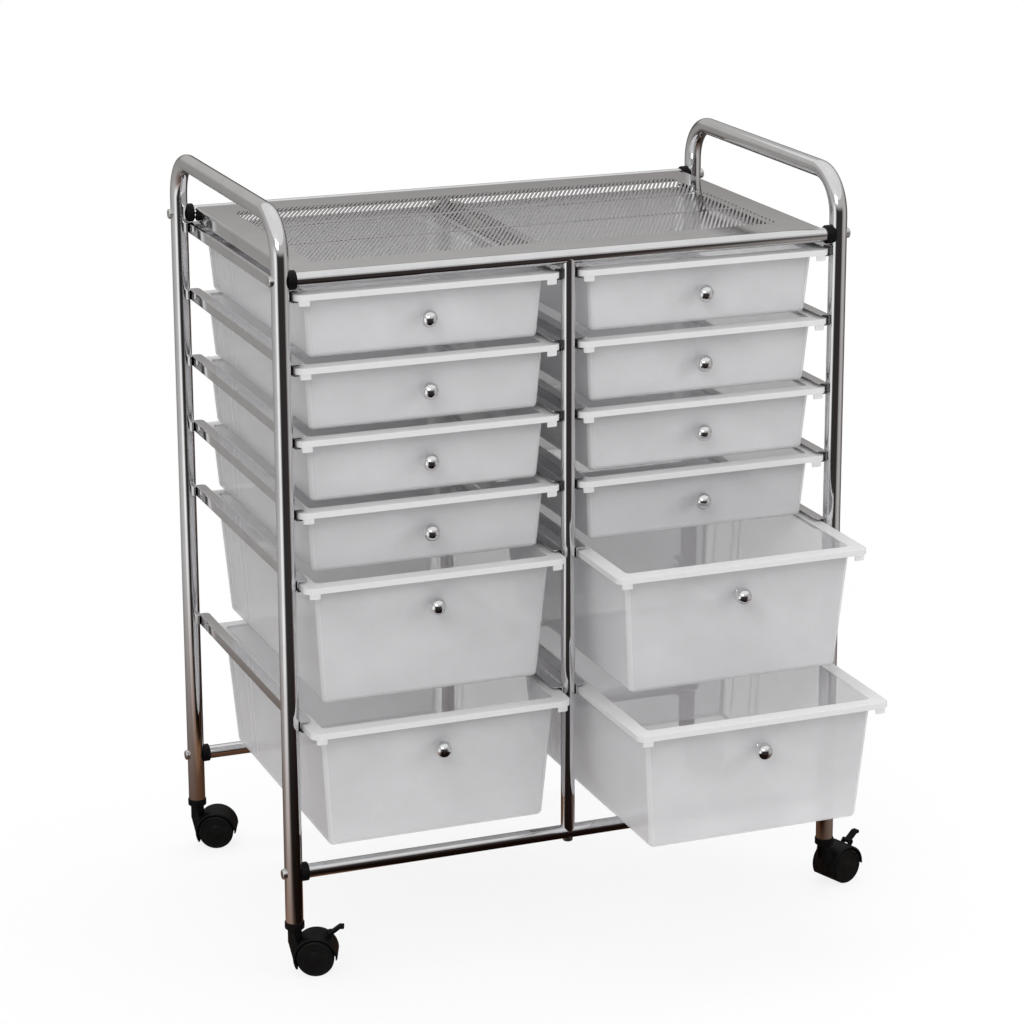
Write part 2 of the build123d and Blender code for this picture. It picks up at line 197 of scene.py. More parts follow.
def blackMaterial(name, look):
    material, shader, coords = newMaterial(name, Specular_IOR_Level=0.1)
    g = mouldGrain
    dust = coords.noise(*g["dust"]).span(*g["edge"])
    spark = coords.noise(*g["spark"])
    worn = dust * g["dustShare"] + spark * g["sparkShare"]
    worn.tint(look["dark"], look["pale"]).feed(shader, "Base Color")
    (look["rough"] + g["dustRough"] * dust + g["sparkRough"] * spark).feed(shader, "Roughness")
    spark.bump(*g["relief"]).feed(shader, "Normal")
    return material


# bright zinc on bolts, stems and axles
zincLook = {
    "dark": (0.55, 0.55, 0.54), "pale": (0.74, 0.74, 0.73), "rough": 0.2, "uneven": 0.15,
    "spangle": (480.0, 4.0, 0.7), "relief": (0.08, 0.0002),
}


def zincMaterial(name, look):
    material, shader, coords = newMaterial(name, Metallic=1.0)
    spangle = coords.noise(*look["spangle"])
    spangle.tint(look["dark"], look["pale"]).feed(shader, "Base Color")
    (look["rough"] + look["uneven"] * spangle).feed(shader, "Roughness")
    spangle.bump(*look["relief"]).feed(shader, "Normal")
    return material


knobLook = {"dark": (0.74, 0.74, 0.75), "pale": (0.84, 0.84, 0.85), "rough": 0.03, "smudge": 0.05}
finishes = {
    "chrome": chromeMaterial("chromePlate", chromeLook),
    "polished_chrome": chromeMaterial("knobChrome", knobLook),
    "drawer_plastic": drawerMaterial("frostedDrawer", drawerLook),
    "black_plastic": blackMaterial("blackMoulding", blackLook),
    "wheel_plastic": blackMaterial("wheelMoulding", wheelLook),
    "zinc": zincMaterial("brightZinc", zincLook),
}
print("finishes made:", len(finishes))


# mesh helpers round the bmesh operators
def vertsOf(geom):
    return [g for g in geom if isinstance(g, bmesh.types.BMVert)]


def edgesOf(geom):
    return [g for g in geom if isinstance(g, bmesh.types.BMEdge)]


def facesOf(geom):
    return [g for g in geom if isinstance(g, bmesh.types.BMFace)]


def point(x, y, z):
    return Vector((x, y, z)) * mm


def ring(bm, radius, place, axis=(0, 0, 1), sides=40, cap=True):
    turn = Vector(axis).to_track_quat("Z", "Y").to_matrix().to_4x4()
    at = Matrix.Translation(point(*place)) @ turn
    made = bmesh.ops.create_circle(bm, cap_ends=cap, radius=radius * mm, segments=sides, matrix=at)
    return list({e for v in made["verts"] for e in v.link_edges})


def pull(bm, loop, x, y, z):  # draw a loop of edges out to a new place
    made = bmesh.ops.extrude_edge_only(bm, edges=loop)["geom"]
    moved = vertsOf(made)
    bmesh.ops.translate(bm, verts=moved, vec=point(x, y, z))
    kept = set(moved)
    return [e for e in edgesOf(made) if e.verts[0] in kept and e.verts[1] in kept]


def sweepRound(bm, geom, centre, axis, degrees, steps):
    made = bmesh.ops.spin(
        bm, geom=geom, cent=point(*centre), axis=axis, angle=math.radians(degrees), steps=steps
    )
    return edgesOf(made["geom_last"])


def bendLoop(bm, loop, centre, axis, degrees, steps):
    verts = list({v for e in loop for v in e.verts})
    return sweepRound(bm, verts + list(loop), centre, axis, degrees, steps)


def rod(bm, radius, start, end, sides=40):
    axis = [b - a for a, b in zip(start, end)]
    loop = ring(bm, radius, start, axis, sides)
    far = pull(bm, loop, *axis)
    bmesh.ops.edgeloop_fill(bm, edges=far)
    return loop, far


def soften(bm, edges, offset, segments=3):
    bmesh.ops.bevel(
        bm, geom=edges, offset=offset * mm, segments=segments, profile=0.5,
        affect="EDGES", material=-1, clamp_overlap=True,
    )


def lathe(bm, profile, sides=48):  # (radius, height) points turned about the z axis
    verts = [bm.verts.new(point(r, 0, h)) for r, h in profile]
    edges = [bm.edges.new(pair) for pair in zip(verts, verts[1:])]
    bmesh.ops.spin(
        bm, geom=verts + edges, axis=(0, 0, 1), cent=(0, 0, 0), angle=math.tau,
        steps=sides, use_merge=True,
    )
    bmesh.ops.remove_doubles(bm, verts=bm.verts, dist=weld)


def sharpEdges(bm, degrees):
    limit = math.radians(degrees)
    return [e for e in bm.edges if e.is_manifold and e.calc_face_angle() > limit]


def addPiece(bm, name, slot, body, nodes, crease=32):
    bmesh.ops.remove_doubles(bm, verts=bm.verts, dist=weld)
    bmesh.ops.recalc_face_normals(bm, faces=bm.faces)
    mesh = bpy.data.meshes.new(name)
    bm.to_mesh(mesh)
    bm.free()
    mesh.shade_smooth()
    mesh.set_sharp_from_angle(angle=math.radians(crease))
    mesh.materials.append(finishes[slot])
    piece = bpy.data.objects.new(name, mesh)
    bpy.context.scene.collection.objects.link(piece)
    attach(piece, body)
    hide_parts(*nodes)
    # flat faces stay flat beside rounded edges
    even = piece.modifiers.new("evenFaces", "WEIGHTED_NORMAL")
    even.keep_sharp = True


# side frames: one bent tube each, its top the handle
sideTube = {"x": 310.5, "y": 187, "foot": 57, "handle": 808.7, "bend": 45, "radius": 9.5, "steps": 14}


def makeSideTube(side, name, node):
    t = sideTube
    x = side * t["x"]
    low = t["handle"] - t["bend"]
    inner = t["y"] - t["bend"]
    bm = bmesh.new()
    loop = ring(bm, t["radius"], (x, -t["y"], t["foot"]))
    loop = pull(bm, loop, 0, 0, low - t["foot"])
    loop = bendLoop(bm, loop, (x, -inner, low), (1, 0, 0), -90, t["steps"])
    loop = pull(bm, loop, 0, 2 * inner, 0)
    loop = bendLoop(bm, loop, (x, inner, low), (1, 0, 0), -90, t["steps"])
    loop = pull(bm, loop, 0, 0, t["foot"] - low)
    bmesh.ops.edgeloop_fill(bm, edges=loop)
    addPiece(bm, name, "chrome", "frame", [node])


makeSideTube(-1, "leftSideTube", "left_side_frame")
makeSideTube(1, "rightSideTube", "right_side_frame")

# cross bars and centre posts
crossTube = {"radius": 7.5, "barEnd": 295, "y": 187, "low": 111, "high": 745.7, "postSeat": 2}
for end, side in (("front", -1), ("rear", 1)):
    c = crossTube
    y = side * c["y"]
    for level, z in (("bottom", c["low"]), ("top", c["high"])):
        bm = bmesh.new()
        rod(bm, c["radius"], (-c["barEnd"], y, z), (c["barEnd"], y, z))
        addPiece(bm, level + end.title() + "Bar", "chrome", "frame", [f"{level}_{end}_bar"])
    bm = bmesh.new()
    rod(bm, c["radius"], (0, y, c["low"] + c["postSeat"]), (0, y, c["high"] - c["postSeat"]))
    addPiece(bm, f"centre{end.title()}Post", "chrome", "frame", [f"centre_{end}_post"])
print("tube frame made")

# black saddle caps between bars and legs, and the domed bolts through the legs
saddleCap = {"radius": 10, "from": 295, "to": 304, "edge": 0.9}
domeBolt = {"radius": 5.5, "wrap": 2.0, "height": 3.2, "edge": 1.4, "edgeSteps": 4, "sides": 32}
barEnds = []
for side in (-1, 1):
    for y in (-crossTube["y"], crossTube["y"]):
        for z in (crossTube["low"], crossTube["high"]):
            barEnds.append((side, y, z))
bm = bmesh.new()
for side, y, z in barEnds:
    start, end = side * saddleCap["from"], side * saddleCap["to"]
    near = rod(bm, saddleCap["radius"], (start, y, z), (end, y, z))[0]
    soften(bm, near, saddleCap["edge"])
addPiece(bm, "saddleCaps", "black_plastic", "frame", ["bar_end_caps"])


def boltHead(bm, place, out, seat):
    b = domeBolt
    foot = Vector(place) + Vector(out) * (seat - b["wrap"])
    head = Vector(place) + Vector(out) * (seat + b["height"])
    far = rod(bm, b["radius"], foot, head, b["sides"])[1]
    soften(bm, far, b["edge"], b["edgeSteps"])


bm = bmesh.new()
for side, y, z in barEnds:
    boltHead(bm, (side * sideTube["x"], y, z), (side, 0, 0), sideTube["radius"])
addPiece(bm, "legBolts", "zinc", "frame", ["frame_bolts"])
bm = bmesh.new()
for y in (-crossTube["y"], crossTube["y"]):
    boltHead(bm, (0, y, crossTube["low"]), (0, 0, -1), crossTube["radius"])
addPiece(bm, "postBolts", "zinc", "frame", ["post_bolts"])
print("caps and bolts made")

# top shelf: sheet with a field of slanting slots, turned down at both ends
topShelf = {
    "halfWidth": 294, "halfDepth": 181.85, "top": 752.2, "sheet": 1.0, "bend": 2.5, "bendSteps": 5,
    "flange": 14, "flangeHalf": 179.4, "fieldX": 262, "fieldY": 140, "pitch": 5.0,
    "slotShare": 0.5, "slant": 62, "bridges": (-47, 47), "bridge": 5,
    "least": 15,  # square millimetres; a smaller slot at the field's edge stays closed
}


def cut(bm, faces, place, normal):
    edges = {e for f in faces for e in f.edges}
    verts = {v for f in faces for v in f.verts}
    geom = [*faces, *edges, *verts]
    bmesh.ops.bisect_plane(bm, geom=geom, dist=hair, plane_co=point(*place), plane_no=normal)


def makeShelf():
    t = topShelf
    flat = t["halfWidth"] - t["bend"]
    bm = bmesh.new()
    sheet = bmesh.ops.create_grid(bm, x_segments=1, y_segments=1, size=mm)["verts"]
    bmesh.ops.scale(bm, verts=sheet, vec=(flat, t["halfDepth"], 1))
    bmesh.ops.translate(bm, verts=sheet, vec=point(0, 0, t["top"]))
    for side in (-1, 1):
        cut(bm, bm.faces, (side * t["fieldX"], 0, 0), (1, 0, 0))
        cut(bm, bm.faces, (0, side * t["fieldY"], 0), (0, 1, 0))

    def fieldFaces():
        found = []
        for f in bm.faces:
            c = f.calc_center_median()
            if abs(c.x) < t["fieldX"] * mm and abs(c.y) < t["fieldY"] * mm:
                found.append(f)
        return found

    for y in t["bridges"]:
        for side in (-1, 1):
            cut(bm, fieldFaces(), (0, y + side * t["bridge"] / 2, 0), (0, 1, 0))
    slant = math.radians(t["slant"])
    lean = 1 / math.tan(slant)
    reach = t["fieldX"] + t["fieldY"] * lean
    across = (math.sin(slant), -math.cos(slant), 0)
    count = int(reach / t["pitch"]) + 1
    for step in range(-count, count + 1):
        for share in (0, t["slotShare"]):
            cut(bm, fieldFaces(), ((step + share) * t["pitch"], 0, 0), across)
    slots = []
    for f in fieldFaces():
        c = f.calc_center_median() / mm
        phase = (c.x - c.y * lean) / t["pitch"] % 1
        bridged = any(abs(c.y - y) < t["bridge"] / 2 for y in t["bridges"])
        if phase < t["slotShare"] and not bridged and f.calc_area() > t["least"] * mm * mm:
            slots.append(f)
    bmesh.ops.delete(bm, geom=slots, context="FACES")
    for side in (-1, 1):
        field = set(fieldFaces())
        margin = [f for f in bm.faces if f not in field]
        cut(bm, margin, (0, side * t["flangeHalf"], 0), (0, 1, 0))
    for side in (-1, 1):
        fold = []
        for e in bm.edges:
            ends = [v.co / mm for v in e.verts]
            if all(abs(p.x - side * flat) < slack and abs(p.y) < t["flangeHalf"] + slack for p in ends):
                fold.append(e)
        hinge = (side * flat, 0, t["top"] - t["bend"])
        fold = bendLoop(bm, fold, hinge, (0, 1, 0), side * 90, t["bendSteps"])
        pull(bm, fold, 0, 0, t["bend"] - t["flange"])
    bmesh.ops.recalc_face_normals(bm, faces=bm.faces)
    if max(bm.faces, key=lambda f: f.calc_area()).normal.z < 0:
        bmesh.ops.reverse_faces(bm, faces=bm.faces)
    bmesh.ops.solidify(bm, geom=bm.faces, thickness=t["sheet"] * mm)
    addPiece(bm, "slottedShelf", "chrome", "frame", ["top_shelf"])


makeShelf()
print("shelf made")

# runners: folded C channels, rounded at both tips
rimTops = [731.4, 655.6, 579.8, 504, 428.2, 275.5]
channel = {
    "legWeb": 300.95, "postWeb": 7.55, "flange": 11.5, "sheet": 1.0, "drop": 8.3, "rise": 3.6,
    "front": -192, "rear": 190, "tip": 5, "tipSteps": 6, "fold": 1.1,
}


def addRunner(bm, web, inward, rimTop):
    c = channel
    low, high = rimTop - c["drop"], rimTop + c["rise"]
    tip, inner = web + inward * c["flange"], web + inward * c["sheet"]
    outline = [
        (web, low), (tip, low), (tip, low + c["sheet"]), (inner, low + c["sheet"]),
        (inner, high - c["sheet"]), (tip, high - c["sheet"]), (tip, high), (web, high),
    ]
    face = bm.faces.new([bm.verts.new(point(x, c["front"], z)) for x, z in outline])
    made = bmesh.ops.extrude_face_region(bm, geom=[face])["geom"]
    bmesh.ops.translate(bm, verts=vertsOf(made), vec=point(0, c["rear"] - c["front"], 0))
    own = set(face.verts) | set(vertsOf(made))
    edges = {e for v in own for e in v.link_edges}
    tips, folds = [], []
    for e in edges:
        a, b = (v.co / mm for v in e.verts)
        if abs(a.x - tip) < slack and abs(b.x - tip) < slack and abs(a.y - b.y) < slack:
            tips.append(e)
        if abs(a.x - web) < slack and abs(b.x - web) < slack and abs(a.z - b.z) < slack:
            folds.append(e)
    soften(bm, tips, c["tip"], c["tipSteps"])
    soften(bm, [e for e in folds if e.is_valid], c["fold"])


runnerGroups = {
    "leftRunners": ("left_runners", [(-channel["legWeb"], 1)]),
    "rightRunners": ("right_runners", [(channel["legWeb"], -1)]),
    "centreRunners": ("centre_runners", [(-channel["postWeb"], -1), (channel["postWeb"], 1)]),
}
for name, (node, webs) in runnerGroups.items():
    bm = bmesh.new()
    for web, inward in webs:
        for rimTop in rimTops:
            addRunner(bm, web, inward, rimTop)
    addPiece(bm, name, "chrome", "frame", [node])
print("runners made")

# drawers: one drafted shell with a turned-down rim, two stop tabs and ribs on its sides
drawerShell = {
    "rimHalf": 144, "rimFront": -195, "rimRear": 191, "rim": 14, "rimHeight": 7, "wall": 1.8,
    "draft": 4.4, "rimCorner": 9, "corner": 6, "cornerSteps": 6, "crown": 0.3,
    "foot": 5, "footSteps": 5, "edge": 0.7, "edgeSteps": 2, "crease": 40,
    "tabWidth": 10, "tabDrop": 5.5, "tabInset": 6, "tabEdge": 0.5, "tabSharp": 0.6,
    "level": 0.9, "below": 1,  # what counts as facing down, and as level with the rim's foot
    "roundedBelow": 0.97, "cornerHighlight": 0.4,  # what counts as a rounded corner, and how strong the painted highlight on it is
    "ribs": (45, 90, 107),  # forward of the rear edge
    "ribHalf": 2.5, "ribHeight": 0.7, "ribEnd": 6, "ribFacing": 1,
}
# middle of each column, and how far its drawers stand open at rest
columns = {"left": (-154.25, [0, 0, 0, 0, 16, 30]), "right": (154.25, [0, 0, 0, 0, 104, 160])}
rowHeights = [71, 71, 71, 71, 135.5, 135.5]


def rimLoop(bm, inset, z, corner):  # rounded rectangle, inset from the rim's outline
    d = drawerShell
    before = set(bm.faces)
    made = bmesh.ops.create_grid(bm, x_segments=1, y_segments=1, size=mm)["verts"]
    halfDepth = (d["rimRear"] - d["rimFront"]) / 2
    bmesh.ops.scale(bm, verts=made, vec=(d["rimHalf"] - inset, halfDepth - inset, 1))
    bmesh.ops.translate(bm, verts=made, vec=point(0, (d["rimRear"] + d["rimFront"]) / 2, z))
    bmesh.ops.bevel(
        bm, geom=made, offset=corner * mm, segments=d["cornerSteps"], profile=0.5,
        affect="VERTICES", material=-1,
    )
    return (set(bm.faces) - before).pop()


def addTabs(bm):  # two stop tabs, drawn down from the foot of the rim's front
    d = drawerShell
    low, high = d["rimHalf"] - d["tabInset"] - d["tabWidth"], d["rimHalf"] - d["tabInset"]

    def frontFoot():
        found = []
        for f in bm.faces:
            c = f.calc_center_median() / mm
            atFront = f.normal.z < -d["level"] and c.y < d["rimFront"] + d["wall"]
            if atFront and abs(c.z + d["rimHeight"]) < d["below"]:
                found.append(f)
        return found

    for x in (-high, -low, low, high):
        cut(bm, frontFoot(), (x, 0, 0), (1, 0, 0))
    for side in (-1, 1):
        feet = [f for f in frontFoot() if low < side * f.calc_center_median().x / mm < high]
        made = bmesh.ops.extrude_face_region(bm, geom=feet)["geom"]
        bmesh.ops.delete(bm, geom=[f for f in feet if f.is_valid], context="FACES")
        bmesh.ops.translate(bm, verts=vertsOf(made), vec=point(0, 0, -d["tabDrop"]))
        rimmed = {e for f in facesOf(made) for e in f.edges}
        sharp = [e for e in rimmed if e.is_boundary or e.calc_face_angle(0) > d["tabSharp"]]
        soften(bm, sharp, d["tabEdge"], d["edgeSteps"])


def addRibs(bm, height):  # upright ribs on the outside of both side walls, fading out above and below
    d = drawerShell
    upright = math.cos(math.radians(d["draft"] + d["ribFacing"]))
    high = -d["rimHeight"] - d["ribEnd"]
    low = d["foot"] + d["ribEnd"] - height

    def wallFaces(near=None):
        bm.normal_update()
        found = []
        for f in bm.faces:
            c = f.calc_center_median() / mm
            outer = f.normal.x * math.copysign(1, c.x) > upright and c.z < -d["rimHeight"]
            if outer and (near is None or abs(c.y - near) < d["ribHalf"]):
                found.append(f)
        return found

    lines = [d["rimRear"] - place for place in d["ribs"]]
    for y in lines:
        for edge in (y - d["ribHalf"], y, y + d["ribHalf"]):
            cut(bm, wallFaces(), (0, edge, 0), (0, 1, 0))
        for z in (low, high):
            cut(bm, wallFaces(y), (0, 0, z), (0, 0, 1))
    ridge = set()
    for v in {v for f in wallFaces() for v in f.verts}:
        at = v.co / mm
        if low - slack < at.z < high + slack and min(abs(at.y - y) for y in lines) < slack:
            ridge.add(v)
    for side in (-1, 1):
        out = [v for v in ridge if v.co.x * side > 0]
        bmesh.ops.translate(bm, verts=out, vec=point(side * d["ribHeight"], 0, 0))


# values that the finish reads: depth, distance from the rear, 1 on the rim and its tabs, and part way on
# the rounded corners as a painted highlight
def markFinish(bm, height):
    d = drawerShell
    depth = bm.verts.layers.float.new("depth")
    along = bm.verts.layers.float.new("along")
    for v in bm.verts:
        v[depth] = -v.co.z / (height * mm)
        v[along] = d["rimRear"] * mm - v.co.y
    rimAndCornerHighlight = bm.faces.layers.float.new("rim")
    for f in bm.faces:
        c = f.calc_center_median() / mm
        tab = c.y < d["rimFront"] + 2 * d["wall"]
        # rounded corner faces get a painted highlight, part of the way to the rim's colour
        rounded = max(abs(n) for n in f.normal) < d["roundedBelow"]
        f[rimAndCornerHighlight] = 1.0 if tab or c.z > -d["rimHeight"] - d["below"] else d["cornerHighlight"] * rounded


def makeDrawer(column, row):
    d = drawerShell
    x, pulls = columns[column]
    height = rowHeights[row]
    slope = math.tan(math.radians(d["draft"]))
    wall = d["wall"]
    floor = height - wall
    bm = bmesh.new()
    crown = d["crown"]  # the rim falls a little to its edges
    stations = [
        (d["rim"] + wall + floor * slope, -floor, d["corner"] - wall),
        (d["rim"] + wall, 0, d["corner"] - wall),
        (0, -crown, d["rimCorner"]),
        (0, -d["rimHeight"], d["rimCorner"]),
        (wall, crown - d["rimHeight"], d["rimCorner"] - wall),
        (wall, -crown - wall, d["rimCorner"] - wall),
        (d["rim"] + wall * slope, -wall, d["corner"]),
        (d["rim"] + height * slope, -height, d["corner"]),
    ]
    loops = []
    for station in stations:
        face = rimLoop(bm, *station)
        loops.append(list(face.edges))
        if station not in (stations[0], stations[-1]):
            bmesh.ops.delete(bm, geom=[face], context="FACES_ONLY")
    for first, second in zip(loops, loops[1:]):
        bmesh.ops.bridge_loops(bm, edges=first + second)
    bmesh.ops.recalc_face_normals(bm, faces=bm.faces)
    soften(bm, [e for e in loops[-1] if e.is_valid], d["foot"], d["footSteps"])
    soften(bm, [e for e in loops[0] if e.is_valid], d["foot"] - wall, d["footSteps"])
    soften(bm, [e for loop in loops[1:4] for e in loop if e.is_valid], d["edge"], d["edgeSteps"])
    addRibs(bm, height)
    addTabs(bm)
    markFinish(bm, height)
    bmesh.ops.translate(bm, verts=bm.verts, vec=point(x, -pulls[row], rimTops[row]))
    node = f"{column}_drawer_{row + 1}"
    addPiece(bm, f"{column}Drawer{row + 1}", "drawer_plastic", node, [node], d["crease"])


# knobs: polished ball on a neck, and the screw's head inside the drawer
ballKnob = {
    "radius": 9.4, "standOff": 12.4, "neckAngle": 158, "drop": 36, "neckSteps": 18, "sides": 40,
    "foot": 4.0, "footTop": 1.4, "footEdge": 0.9, "gap": 0.05,
    "screw": 4, "screwHeight": 2.4, "screwEdge": 0.9, "screwSides": 24,
}


def makeKnob(column, row):
    k = ballKnob
    d = drawerShell
    x, pulls = columns[column]
    tilt = math.radians(d["draft"])
    bm = bmesh.new()
    top = bm.verts.new(point(0, 0, k["standOff"] + k["radius"]))
    made = bmesh.ops.spin(
        bm, geom=[top], cent=point(0, 0, k["standOff"]), axis=(0, 1, 0),
        angle=math.radians(k["neckAngle"]), steps=k["neckSteps"],
    )
    end = vertsOf(made["geom_last"])[0]
    for r, z in ((end.co.x / mm, k["footTop"]), (k["foot"], k["footEdge"]), (k["foot"], k["gap"])):
        new = bm.verts.new(point(r, 0, z))
        bm.edges.new((end, new))
        end = new
    bmesh.ops.spin(
        bm, geom=list(bm.verts) + list(bm.edges), cent=(0, 0, 0), axis=(0, 0, 1),
        angle=math.tau, steps=k["sides"], use_merge=True,
    )
    bmesh.ops.remove_doubles(bm, verts=bm.verts, dist=weld)
    bmesh.ops.holes_fill(bm, edges=bm.edges, sides=0)
    seat = -d["wall"] * math.cos(tilt) - k["gap"]
    far = rod(bm, k["screw"], (0, 0, seat), (0, 0, seat - k["screwHeight"]), k["screwSides"])[1]
    soften(bm, far, k["screwEdge"])
    faceY = d["rimFront"] + d["rim"] + k["drop"] * math.tan(tilt)
    stand = Matrix.Translation(point(x, faceY - pulls[row], rimTops[row] - k["drop"]))
    aim = Vector((0, -math.cos(tilt), -math.sin(tilt))).to_track_quat("Z", "Y").to_matrix().to_4x4()
    bmesh.ops.transform(bm, matrix=stand @ aim, verts=bm.verts)
    name = f"{column}_knob_{row + 1}"
    addPiece(bm, f"{column}Knob{row + 1}", "polished_chrome", f"{column}_drawer_{row + 1}", [name])


for column in columns:
    for row in range(len(rowHeights)):
        makeDrawer(column, row)
        makeKnob(column, row)
print("drawers and knobs made")

# casters: hood over two wheels, drawn trailing towards +X with the stem on the z axis
caster = {
    "trail": 22, "wheelRadius": 20, "wheelInner": 6, "wheelSides": 56, "wheelSharp": 35, "wheelEdge": 0.3,
    "wheelSteps": 2, "hoodOuter": 23.5, "hoodBore": 21.5, "halfWidth": 17, "halfWeb": 5.5, "axleBore": 3,
    "hub": 9, "trailAngle": -3, "leadAngle": 211, "hoodSteps": 42,
    "shoulder": 2.6, "shoulderAngle": 40, "shoulderSteps": 4,
    "boss": 7.5, "bossFoot": 33, "bossEdge": 0.8, "top": 48.7,
    "snoutInset": 1, "snoutHalf": 12, "snoutFrom": 140, "snoutTo": 205, "snoutStep": 5,
}
lever = {
    "angle": 56, "lift": 3.4, "knuckle": 2.5, "width": 8, "thickness": 3.8, "length": 13.5, "rise": 38,
    "toe": 4.5, "toeTurn": 40, "edge": 0.9, "sharp": 20,
    "ear": 2.8, "earInner": 4.3, "earOuter": 6.3, "earSink": 1, "sides": 24, "pin": 1.3, "pinSides": 16,
}
# degrees that each caster is turned at rest
headings = {"front_left": -21.5, "front_right": 18, "rear_left": -21.5, "rear_right": -21.5}
braked = ("front_left", "front_right")


def camel(words):
    first, *rest = words.split("_")
    return first + "".join(word.title() for word in rest)


def cornerPlace(corner):
    end, side = corner.split("_")
    x = sideTube["x"] * (-1 if side == "left" else 1)
    y = sideTube["y"] * (-1 if end == "front" else 1)
    return Matrix.Translation(point(x, y, 0)) @ Matrix.Rotation(math.radians(headings[corner]), 4, "Z")


def around(radius, degrees):  # point about the wheel's axle, in the plane of the wheel
    turn = math.radians(degrees)
    return caster["trail"] + radius * math.cos(turn), caster["wheelRadius"] + radius * math.sin(turn)


def pivotPoint():
    return around(caster["hoodOuter"] + lever["lift"], lever["angle"])


def shrink(bm, points):  # closed skin round the points, without what is left inside it
    made = bmesh.ops.convex_hull(bm, input=points)
    spare = [g for g in made["geom_interior"] + made["geom_unused"] if g.is_valid]
    bmesh.ops.delete(bm, geom=vertsOf(spare), context="VERTS")
    loose = [e for e in bm.edges if not e.link_faces]
    bmesh.ops.delete(bm, geom=loose, context="EDGES")


def addEar(bm, side):  # plate with round ends that carries the lever's pin
    v = lever
    points = []
    for x, z in (around(caster["hoodOuter"] - v["earSink"], v["angle"]), pivotPoint()):
        for y in (v["earInner"], v["earOuter"]):
            loop = ring(bm, v["ear"], (x, side * y, z), (0, 1, 0), v["sides"], False)
            points.extend({p for e in loop for p in e.verts})
    shrink(bm, points)


def addSnout(bm):  # the hood's leading side, drawn up round the boss
    c = caster
    points = []
    for z in (c["top"] - c["snoutInset"], c["bossFoot"] + c["snoutInset"]):
        loop = ring(bm, c["boss"], (0, 0, z), cap=False)
        points.extend({p for e in loop for p in e.verts if p.co.x <= 0})
        spare = [v for e in loop for v in e.verts if v.is_valid and v.co.x > 0]
        bmesh.ops.delete(bm, geom=list(set(spare)), context="VERTS")
    for degrees in range(c["snoutFrom"], c["snoutTo"] + 1, c["snoutStep"]):
        x, z = around(c["hoodOuter"], degrees)
        points.extend(bm.verts.new(point(x, side * c["snoutHalf"], z)) for side in (-1, 1))
    shrink(bm, list(set(points)))


def makeHood(corner):
    c = caster
    bm = bmesh.new()
    w, web, out, bore = c["halfWidth"], c["halfWeb"], c["hoodOuter"], c["hoodBore"]
    axle = c["axleBore"]
    section = [
        (-w, out), (w, out), (w, bore), (web, bore),
        (web, axle), (-web, axle), (-web, bore), (-w, bore),
    ]
    corners = []
    for y, r in section:
        x, z = around(r, c["trailAngle"])
        corners.append(bm.verts.new(point(x, y, z)))
    face = bm.faces.new(corners)
    sweepRound(
        bm, [face, *face.edges, *face.verts], (c["trail"], 0, c["wheelRadius"]), (0, -1, 0),
        c["leadAngle"] - c["trailAngle"], c["hoodSteps"],
    )
    bmesh.ops.recalc_face_normals(bm, faces=bm.faces)
    shoulders = []
    for e in sharpEdges(bm, c["shoulderAngle"]):
        spread = [math.hypot(v.co.x / mm - c["trail"], v.co.z / mm - c["wheelRadius"]) for v in e.verts]
        if min(spread) > out - slack and all(abs(abs(v.co.y / mm) - w) < slack for v in e.verts):
            shoulders.append(e)
    soften(bm, shoulders, c["shoulder"], c["shoulderSteps"])
    axleX, axleZ = c["trail"], c["wheelRadius"]
    rod(bm, c["hub"], (axleX, -web, axleZ), (axleX, web, axleZ))
    far = rod(bm, c["boss"], (0, 0, c["bossFoot"]), (0, 0, c["top"]))[1]
    soften(bm, far, c["bossEdge"])
    addSnout(bm)
    if corner in braked:
        for side in (-1, 1):
            addEar(bm, side)
    bmesh.ops.transform(bm, matrix=cornerPlace(corner), verts=bm.verts)
    addPiece(bm, camel(corner) + "Hood", "black_plastic", f"{corner}_caster", [f"{corner}_hood"])


wheelSection = [  # (radius, distance from the inner side)
    (0, 9.4), (3.05, 9.4), (3.05, 0), (15.5, 0), (17.6, 0.2), (19.3, 1.0), (20, 2.6), (20, 8.4), (19.3, 10),
    (17.9, 10.9), (17.0, 10.9), (16.5, 10.1), (8.2, 9.7), (7.4, 10.4), (5.6, 10.9), (0, 11.0),
]


def makeWheel(corner, side, which):
    c = caster
    bm = bmesh.new()
    lathe(bm, wheelSection, c["wheelSides"])
    soften(bm, sharpEdges(bm, c["wheelSharp"]), c["wheelEdge"], c["wheelSteps"])
    aim = Vector((0, side, 0)).to_track_quat("Z", "X").to_matrix().to_4x4()
    stand = Matrix.Translation(point(c["trail"], side * c["wheelInner"], c["wheelRadius"]))
    bmesh.ops.transform(bm, matrix=cornerPlace(corner) @ stand @ aim, verts=bm.verts)
    node = f"{corner}_wheel_{which}"
    addPiece(bm, camel(node), "wheel_plastic", node, [node])


